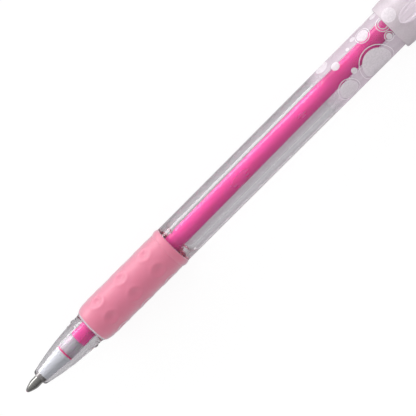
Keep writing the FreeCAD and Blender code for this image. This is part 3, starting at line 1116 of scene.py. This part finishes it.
def make_clip():
    """Springy clear clip: a rounded tip, a bump under it, grooves along it, a knuckle at its root."""
    shape = bmesh.new()
    loops = []
    for station in clip_stations():
        loop = []
        for across, radius in clip_section(station):
            point = place(station, radius)
            point.y -= across * MM
            loop.append(shape.verts.new(point))
        loops.append(loop)
    for loop, following in zip(loops, loops[1:]):
        for i in range(len(loop)):
            j = (i + 1) % len(loop)
            shape.faces.new([loop[i], loop[j], following[j], following[i]])
    shape.faces.new(loops[0])
    shape.faces.new(loops[-1])
    bmesh.ops.remove_doubles(shape, verts=shape.verts, dist=1e-7)
    bmesh.ops.recalc_face_normals(shape, faces=shape.faces)
    piece = finish_mesh("pocket_clip_visual", shape, sharp=50.0)
    dress(piece, CLEAR_CLIP, "clip", "clear_plastic", "pocket_clip")


# Printed bubbles and mist, and the painted glint on the nose's rim


PRINTING = SimpleNamespace(
    # Where the turns in the two tables below count from, in degrees from straight up
    zero=5.2,
    ring_width=0.19,
    sunk=0.01,
    proud=0.02,
    spokes=72,
    band=0.35,
    far_radii=(2.1, 0.6, 1.2, 0.8),
    far_ring_gap=0.55,
    far_ring_every=3,
)

BARREL_BUBBLES = [
    # station, turn, radius, ring
    (99.4, -76.0, 1.70, 0.0),
    (101.9, -40.0, 1.02, 0.0),
    (106.4, -51.0, 0.45, 0.0),
    (108.7, -66.0, 0.70, 0.0),
    (110.9, -49.0, 1.47, 1.92),
    (104.2, 3.5, 0.72, 0.0),
    (100.5, 33.0, 2.26, 2.8),
    (109.1, 36.0, 3.70, 4.5),
    (115.5, -75.0, 0.90, 0.0),
    (115.1, 4.0, 0.75, 1.15),
    (116.0, -30.0, 0.0, 1.25),
    (116.0, -30.0, 0.0, 1.80),
]

CAP_BUBBLES = [
    # station, turn, radius, ring
    (118.3, -32.0, 1.75, 0.0),
    (124.6, -58.0, 1.35, 1.85),
    (123.2, 42.0, 1.10, 0.0),
    (128.5, -34.0, 0.80, 0.0),
    (127.4, 58.0, 1.90, 2.50),
    (134.0, -50.0, 2.20, 2.80),
    (133.2, 40.0, 0.90, 0.0),
    (139.5, 47.0, 1.60, 0.0),
    (141.2, -38.0, 1.00, 1.50),
    (146.4, -56.0, 1.30, 0.0),
    (146.0, 50.0, 0.80, 1.20),
]


def surface_radius(station):
    """The radius of the barrel's outside at a station."""
    s = SIZE
    share = (station - s.grip_end) / (s.shoulder_station - s.grip_end)
    return s.barrel_front_radius + (s.barrel_rear_radius - s.barrel_front_radius) * share


def cap_surface_radius(station):
    """The radius of the cap's outside at a station."""
    s = SIZE
    share = min((station - s.cap_mouth) / s.mouth_taper, 1.0)
    return s.mouth_radius + (s.cap_radius - s.mouth_radius) * share


def add_patch(shape, station, turn, inner, outer, radius_at):
    """Adds a thin printed disc, or a ring if inner isn't 0, wrapped round the surface."""
    p = PRINTING
    bands = max(1, round((outer - inner) / p.band))
    layers = []
    for height in (-p.sunk, p.proud):
        layer = []
        for i in range(p.spokes):
            angle = math.tau * i / p.spokes
            spoke = []
            for j in range(bands + 1):
                reach = inner + (outer - inner) * j / bands
                along = station + reach * math.cos(angle)
                base = radius_at(along)
                around = turn + reach * math.sin(angle) / base
                if reach == 0 and i > 0:
                    spoke.append(layer[0][0])
                else:
                    spoke.append(shape.verts.new(place(along, base + height, around)))
            layer.append(spoke)
        layers.append(layer)
    low, high = layers
    for i in range(p.spokes):
        k = (i + 1) % p.spokes
        for j in range(bands):
            for layer, step in ((low, -1), (high, 1)):
                corners = [layer[i][j], layer[i][j + 1], layer[k][j + 1], layer[k][j]]
                shape.faces.new(list(dict.fromkeys(corners))[::step])
        shape.faces.new([low[i][-1], low[k][-1], high[k][-1], high[i][-1]])
        if inner > 0:
            shape.faces.new([low[k][0], low[i][0], high[i][0], high[k][0]])


def bubble_print(name, bubbles, radius_at, body):
    """One printed piece of bubbles: (station, turn in degrees, radius or 0, ring radius or 0)."""
    shape = bmesh.new()
    for station, turn, radius, ring in bubbles:
        if radius:
            add_patch(shape, station, math.radians(turn), 0, radius, radius_at)
        if ring:
            inner = ring - PRINTING.ring_width
            add_patch(shape, station, math.radians(turn), inner, ring, radius_at)
    bmesh.ops.recalc_face_normals(shape, faces=shape.faces)
    dress(finish_mesh(name, shape, sharp=60.0), PRINT, body, "white_plastic")


def near_side(bubbles):
    """The bubbles of a table, with their turns counted from straight up."""
    return [(station, PRINTING.zero + turn, *sizes) for station, turn, *sizes in bubbles]


def far_side(first, last, count, low_turn, high_turn):
    """Bubbles spread evenly over a stretch of the far side, large and small ones by turns."""
    p = PRINTING
    golden = (math.sqrt(5) - 1) / 2
    bubbles = []
    for i in range(count):
        station = first + (last - first) * (i + 0.5) / count
        turn = low_turn + (high_turn - low_turn) * ((i * golden) % 1.0)
        radius = p.far_radii[i % len(p.far_radii)]
        ring = radius + p.far_ring_gap if i % p.far_ring_every == 0 else 0.0
        bubbles.append((station, turn, radius, ring))
    return bubbles


def mist_sleeve(name, outline, material, body):
    """A thin layer on a stretch of the pen, outside an outline of (station, radius). It is print,
    except on the nose's rim, where it is a painted glint.

    It stands off a little towards the front too, so that it can cover a front edge.
    """
    low, high = SIZE.mist_gap, SIZE.mist_gap + SIZE.mist_thickness
    loop = [(station - low, radius + low) for station, radius in outline]
    loop += [(station - high, radius + high) for station, radius in reversed(outline)]
    dress(finish_mesh(name, turned_mesh(loop)), material, body, "white_plastic")


def make_prints():
    """White bubbles and mist on the barrel's rear and on the cap, and a painted glint on the nose's
    rim.
    """
    s = SIZE
    barrel_bubbles = near_side(BARREL_BUBBLES)
    barrel_bubbles += far_side(first=100.0, last=118.0, count=12, low_turn=100.0, high_turn=265.0)
    bubble_print("bubble_print_barrel", barrel_bubbles, surface_radius, "barrel")
    cap_bubbles = near_side(CAP_BUBBLES)
    cap_bubbles += far_side(first=119.0, last=150.0, count=16, low_turn=90.0, high_turn=270.0)
    bubble_print("bubble_print_cap", cap_bubbles, cap_surface_radius, "cap")
    mist_end = s.shoulder_station - 2 * s.edge_break
    mist_sleeve(
        "mist_print_barrel",
        [(s.mist_start, surface_radius(s.mist_start)), (mist_end, surface_radius(mist_end))],
        BARREL_MIST,
        "barrel",
    )
    # The nose's rim gets a white ring of painted highlight
    flare = [
        (s.flare_start, s.flare_start_radius),
        ("bend", s.flare_curve, -1),
        (s.grip_start, s.grip_front_radius),
    ]
    rim_end = s.grip_start - s.lip_overlap
    rim = [point for point in expand(flare) if s.rim_start <= point[0] <= rim_end]
    mist_sleeve("nose_rim_painted_glint", rim, RIM_PAINTED_GLINT, BODY_OF["nose_cone"])
    outline = [
        (s.cap_mouth, s.cap_bore_radius + 2 * s.edge_break),
        (s.cap_mouth, s.mouth_radius - s.edge_break),
        (s.cap_mouth + s.edge_break, s.mouth_radius),
        (s.cap_mouth + s.mouth_taper, s.cap_radius),
        (s.boss_start - s.edge_break, s.cap_radius),
    ]
    mist_sleeve("mist_print_cap", outline, CAP_MIST, "cap")


# Stage


CAMERA = SimpleNamespace(
    aim_station=58.97,
    aim_off_axis=0.325,
    rear_tilt=5.4,
    side_tilt=3.8,
    distance=650.0,
    picture_width=93.8,
    sensor=36.0,
)


WHITE_LIGHT = (1.0, 1.0, 1.0, 1.0)


def make_camera():
    """Looks down on the pen, rolled so that the pen runs from lower left to upper right."""
    c = CAMERA
    back = Vector(
        (math.tan(math.radians(c.rear_tilt)), math.tan(math.radians(c.side_tilt)), 1.0)
    ).normalized()
    along = Vector((1, 0, 0))
    along = (along - back * along.dot(back)).normalized()
    across = back.cross(along)
    right, up = (along - across).normalized(), (along + across).normalized()
    aim = place(c.aim_station, 0) + Vector((0, c.aim_off_axis * MM, 0))
    data = bpy.data.cameras.new("camera")
    data.sensor_width = c.sensor
    data.lens = c.sensor * c.distance / c.picture_width
    data.clip_start, data.clip_end = 0.01, 10.0
    camera = bpy.data.objects.new("camera", data)
    bpy.context.collection.objects.link(camera)
    place_in = Matrix((right, up, back)).transposed().to_4x4()
    camera.matrix_world = Matrix.Translation(aim + back * c.distance * MM) @ place_in
    bpy.context.scene.camera = camera


def add_softbox(name, position, width, height, power, gloss_only=False):
    """A soft rectangular lamp that faces the pen and adds only matt light or only highlights."""
    data = bpy.data.lights.new(name, "AREA")
    data.shape = "RECTANGLE"
    data.size, data.size_y = width, height
    data.energy = power
    lamp = bpy.data.objects.new(name, data)
    bpy.context.collection.objects.link(lamp)
    lamp.location = position
    lamp.rotation_euler = Vector(position).to_track_quat("Z", "Y").to_euler()
    lamp.visible_camera = False
    lamp.visible_diffuse = not gloss_only
    lamp.visible_transmission = not gloss_only
    lamp.visible_glossy = gloss_only


def make_room():
    """A white backdrop for the camera, and walls that are darker in reflections than as light."""
    world = bpy.data.worlds.new("studio")
    bpy.context.scene.world = world
    world.use_nodes = True
    tree = world.node_tree
    tree.nodes.clear()
    output = tree.nodes.new("ShaderNodeOutputWorld")
    direction = tree.nodes.new("ShaderNodeTexCoord").outputs["Generated"]
    side = add_node(tree, "SeparateXYZ", Vector=direction).outputs["Y"]
    walls, mirrored = ramp(side, -1.0, 1.0, 0.66, 0.98), ramp(side, -1.0, 1.0, 0.14, 0.75)
    lit, reflected, backdrop = [
        add_node(tree, "Background", Color=WHITE_LIGHT, Strength=strength).outputs[0]
        for strength in (walls, mirrored, 1.0)
    ]
    room = mix_shaders(light_path(tree, "Is Glossy Ray"), lit, reflected)
    seen = mix_shaders(light_path(tree, "Is Camera Ray"), room, backdrop)
    set_inputs(output, Surface=seen)


def make_floor():
    """A pale floor, which the camera sees as nearly white with faint shadows."""
    material, tree, output = new_material("pale_floor")
    paper = add_node(tree, "BsdfDiffuse", Color=(0.60, 0.60, 0.61, 1.0))
    glow = add_node(tree, "Emission", Color=WHITE_LIGHT, Strength=0.88)
    thin = add_node(tree, "BsdfDiffuse", Color=(0.15, 0.15, 0.15, 1.0))
    seen = join("AddShader", glow.outputs["Emission"], thin.outputs["BSDF"]).outputs["Shader"]
    mix = mix_shaders(light_path(tree, "Is Camera Ray"), paper.outputs["BSDF"], seen)
    set_inputs(output, Surface=mix)
    shape = bmesh.new()
    bmesh.ops.create_grid(shape, x_segments=8, y_segments=8, size=1.5)
    floor = finish_mesh("floor", shape)
    floor.location = (0, 0, CAD_BOX[0].z)
    floor.data.materials.append(material)


def make_studio():
    """Two softboxes, one for light and one for highlights, in a room with a pale floor."""
    add_softbox("side_panel", position=(-0.05, 0.59, 0.155), width=0.90, height=0.19, power=2.1)
    add_softbox(
        "gloss_panel",
        position=(-0.05, 0.60, 0.0875),
        width=0.95,
        height=0.17,
        power=3.0,
        gloss_only=True,
    )
    make_room()
    make_floor()
    bpy.context.scene.view_settings.view_transform = "Standard"


make_point()
make_refill()
make_nose()
make_barrel()
make_grip()
make_cap_shell()
make_cap_inside()
make_crown()
make_clip()
make_prints()
make_camera()
make_studio()
